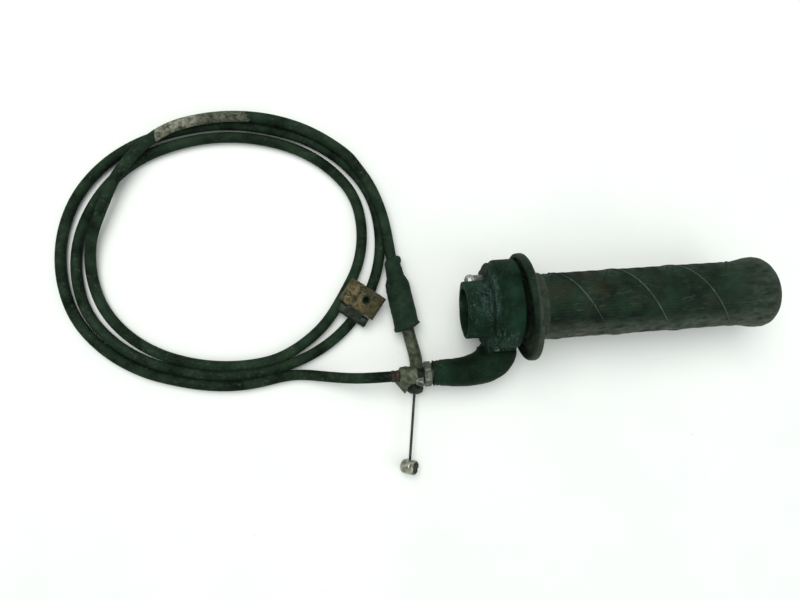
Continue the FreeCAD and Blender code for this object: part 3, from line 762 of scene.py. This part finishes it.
def make_nipple(material, dark, inward):
    """The barrel on the wire's end, leaning so that one end face looks up."""
    level = inward.cross(Vector((0, 0, 1))).normalized()
    across = Matrix.Rotation(-math.radians(NIPPLE_LEAN), 3, inward) @ level
    centre = NOSE - inward * WIRE_LENGTH
    profile = [(-4.0, 0.4), (-4.0, 2.2), (-3.7, 2.9), (-3.2, 3.35), (-2.4, 3.6), (-0.3, 3.65),
               (1.3, 3.62), (1.6, 3.45), (1.9, 3.6), (3.1, 3.6), (3.4, 3.4), (3.55, 3.1),
               (3.2, 2.9), (3.2, 0.4)]
    barrel = lathe("nipple_barrel", dense(profile, 0.3), centre, across, None, 56)
    dress(uneven(barrel, 1.8, 0.12), "cable_end", "nipple_zinc", material, "cable_nipple")
    face = lathe("nipple_face", dense([(3.0, 2.95), (3.38, 2.8), (3.3, 1.4), (3.42, 0.1)], 0.2),
                 centre, across, None, 48)
    return [barrel, dress(uneven(face, 0.7, 0.3), "cable_end", "nipple_zinc", dark)]


# ---------------------------------------------------------------- the clip


def bent_strip(name, path, low, high, gauge, place):
    """A sheet bent along a path of (u, z) points, between two stations across it."""
    line = smooth_line([(u, 0, z) for u, z in path], 4)
    rings = []
    for number, point in enumerate(line):
        before, after = line[max(0, number - 1)], line[min(len(line) - 1, number + 1)]
        heading = (after - before).normalized()
        normal = Vector((-heading.z, 0, heading.x)) * gauge
        ring = []
        for across, out in ((low, 0), (low, 1), (high, 1), (high, 0)):
            ring.append(place @ (point + normal * out + Vector((0, across, 0))))
        rings.append(ring)
    thing = skin(name, rings, (True, True), 30.0)
    edges = thing.modifiers.new("edges", "BEVEL")
    edges.width = 0.3 * MM
    edges.segments = 2
    return thing


def applied(thing):
    """Turns a piece's modifiers into its own mesh."""
    shape = evaluated_mesh(thing)
    thing.modifiers.clear()
    thing.data = shape
    return thing


def make_clip(material, dull):
    """The folded clip over the cable: its top with a hole, the eyelet, the hook and the web."""
    place = Matrix.Translation((-47.4, 9.7, FLOOR)) @ Matrix.Rotation(math.radians(-37.0), 4, "Z")
    top = [(-7.4, 1.6), (-8.3, 2.9), (-8.7, 4.6), (-8.5, 6.2), (-7.8, 7.4), (-6.6, 8.3),
           (-4.8, 8.8), (2.0, 8.9), (7.2, 8.7), (8.6, 8.1), (9.0, 6.9), (9.0, 5.2)]
    sheet = bent_strip("clip_top", top, -6.3, 6.3, 1.2, place)
    bore = lathe("bore", [(-3, 1.5), (6, 1.5)], place @ Vector((1.9, 0.4, 8.0)), (0, 0, 1),
                 None, 24)
    hole = sheet.modifiers.new("hole", "BOOLEAN")
    hole.operation = "DIFFERENCE"
    hole.object = bore
    bpy.context.view_layer.update()
    sheet = uneven(applied(sheet), 2.2, 0.2)
    bpy.data.objects.remove(bore)
    dress(sheet, "housing", "rusty_sheet", material, "clip_plate")
    rim = [(0.0, 1.45), (0.35, 1.5), (0.5, 1.8), (0.35, 2.2), (0.0, 2.4)]
    lip = lathe("clip_eyelet", dense(rim, 0.2), place @ Vector((1.9, 0.4, 9.8)), (0, 0, 1),
                None, 36, (False, False))
    dress(uneven(lip, 1.1, 0.2), "housing", "rusty_sheet", dull)
    across = place @ Matrix.Rotation(math.radians(90), 4, "Z")
    roll = [(-10.2, 2.4), (-11.0, 3.6), (-11.1, 5.0), (-10.4, 6.2), (-9.2, 6.8), (-8.0, 6.9),
            (-7.2, 6.3)]
    hook = uneven(applied(bent_strip("clip_hook", roll, -8.6, 7.6, 0.9, across)), 2.6, 0.5)
    dress(hook, "housing", "rusty_sheet", dull, "clip_strap")
    web = bent_strip("clip_web", [(-9.4, 6.7), (-8.2, 7.4), (-7.0, 8.2), (-6.0, 8.7)], -4.6, 4.4,
                     1.0, across)
    dress(web, "housing", "rusty_sheet", dull)
    return [sheet, lip, hook, web]


# ---------------------------------------------------------------- the housing


def make_housing(plastic, steel, bright):
    """The two softened half shells, and the small tab with an eye."""
    for half in ("upper", "lower"):
        shell = softened(f"housing_{half}_shell", f"housing_{half}", 0.42, 8)
        for vertex in shell.data.vertices:
            x, y, z = vertex.co / MM
            outside = soft_step(12.2, 13.2, math.hypot(y, z))
            cover = soft_step(8.5, 14.0, x)
            below = min(1.0, max(0.0, -y / 20.0))
            inset = 0.10 * soft_step(24.3, 25.0, x) * outside
            shift = COLLAR_SHIFT * (1 - cover) + COVER_SHIFT * cover * below
            vertex.co.y += shift * outside * MM
            vertex.co.y -= inset * y * MM
            vertex.co.z -= inset * z * MM
        dress(uneven(shell, 7.0, 0.25), "housing", "housing_plastic", plastic, f"housing_{half}")
    eye = dense([(-0.7, 1.0), (-0.7, 2.3), (-0.4, 2.6), (0.4, 2.6), (0.7, 2.3), (0.7, 1.0),
                 (-0.7, 1.0)], 0.3)
    ring = lathe("tab_eye", eye, (3.7, 15.0, 0.4), (0, 0, 1), None, 40, (False, False))
    dress(ring, "housing", "bright_steel", bright, "collar_tab")
    strip = [(5.0, 12.8), (10.6, 13.0), (10.6, 16.9), (7.4, 17.1), (4.4, 17.2), (5.6, 15.6)]
    dress(plate("tab_strip", strip, -0.3, 1.1), "housing", "bright_steel", bright)
    coat("housing_screws", steel)


# ---------------------------------------------------------------- scene


def make_floor():
    mesh = bpy.data.meshes.new("floor")
    reach = 2.5
    corners = [(-reach, -reach), (reach, -reach), (reach, reach), (-reach, reach)]
    mesh.from_pydata([(x, y, FLOOR * MM) for x, y in corners], [], [(0, 1, 2, 3)])
    floor = bpy.data.objects.new("floor", mesh)
    mesh.materials.append(floor_material())
    bpy.context.scene.collection.objects.link(floor)


def main():
    make_camera()
    jacket = make_cable(jacket_material())
    make_lights()
    make_floor()
    rubber = rubber_material("boot_rubber", (0.002, 0.007, 0.003), (0.008, 0.024, 0.012),
                             (0.065, 0.085, 0.062), 0.5)
    steel = metal_material("dull_steel", (0.035, 0.042, 0.032), (0.18, 0.20, 0.165),
                           (0.02, 0.022, 0.014), 0.8)
    bright = metal_material("bare_steel", (0.045, 0.05, 0.045), (0.34, 0.36, 0.33),
                            (0.02, 0.02, 0.015), 0.8, 0.35)
    olive = metal_material("olive_zinc", (0.035, 0.042, 0.026), (0.145, 0.165, 0.11),
                           (0.022, 0.024, 0.012), 0.6, 0.55)
    brown = metal_material("brown_ferrule", (0.022, 0.018, 0.014), (0.095, 0.070, 0.055),
                           (0.015, 0.013, 0.010), 0.6, 0.6)
    dark = metal_material("dark_cup", (0.008, 0.011, 0.007), (0.060, 0.072, 0.050),
                          (0.006, 0.007, 0.005), 0.6, 0.55)
    wire = metal_material("wire_steel", (0.022, 0.025, 0.020), (0.12, 0.125, 0.11),
                          (0.012, 0.012, 0.009), 0.5, 0.45, 900)
    zinc = metal_material("nipple_zinc", (0.12, 0.125, 0.085), (0.52, 0.53, 0.43),
                          (0.035, 0.038, 0.02), 0.5, 0.34, 420, 0.15)
    tube = rubber_material("tube_plastic", (0.003, 0.006, 0.004), (0.010, 0.016, 0.012),
                           (0.05, 0.06, 0.05), 0.4)
    make_housing(housing_material(), steel, bright)
    pale = rubber_material("rib_rubber", (0.012, 0.024, 0.014), (0.060, 0.080, 0.060),
                           (0.17, 0.19, 0.15), 0.8, gloss=0.2)
    make_grip(grip_material(), pale)
    make_elbow(rubber)
    ferrule = make_adjuster(steel, olive, brown, bright, dark)
    dusty = rubber_material("dusty_rubber", (0.004, 0.011, 0.006), (0.017, 0.036, 0.021),
                            (0.075, 0.095, 0.072), 0.6)
    fittings = make_carb_end(dusty, olive, dark, wire, zinc)
    dull = metal_material("clip_steel", (0.006, 0.012, 0.007), (0.050, 0.068, 0.048),
                          (0.02, 0.02, 0.010), 0.8, 0.45)
    clips = make_clip(rust_material(), dull)
    coat("throttle_tube", tube)
    coat("elbow_pipe", steel)
    for node in ("drum_nipple", "drum_wire", "grip_wire"):
        coat(node, wire)


main()
bpy.context.view_layer.update()
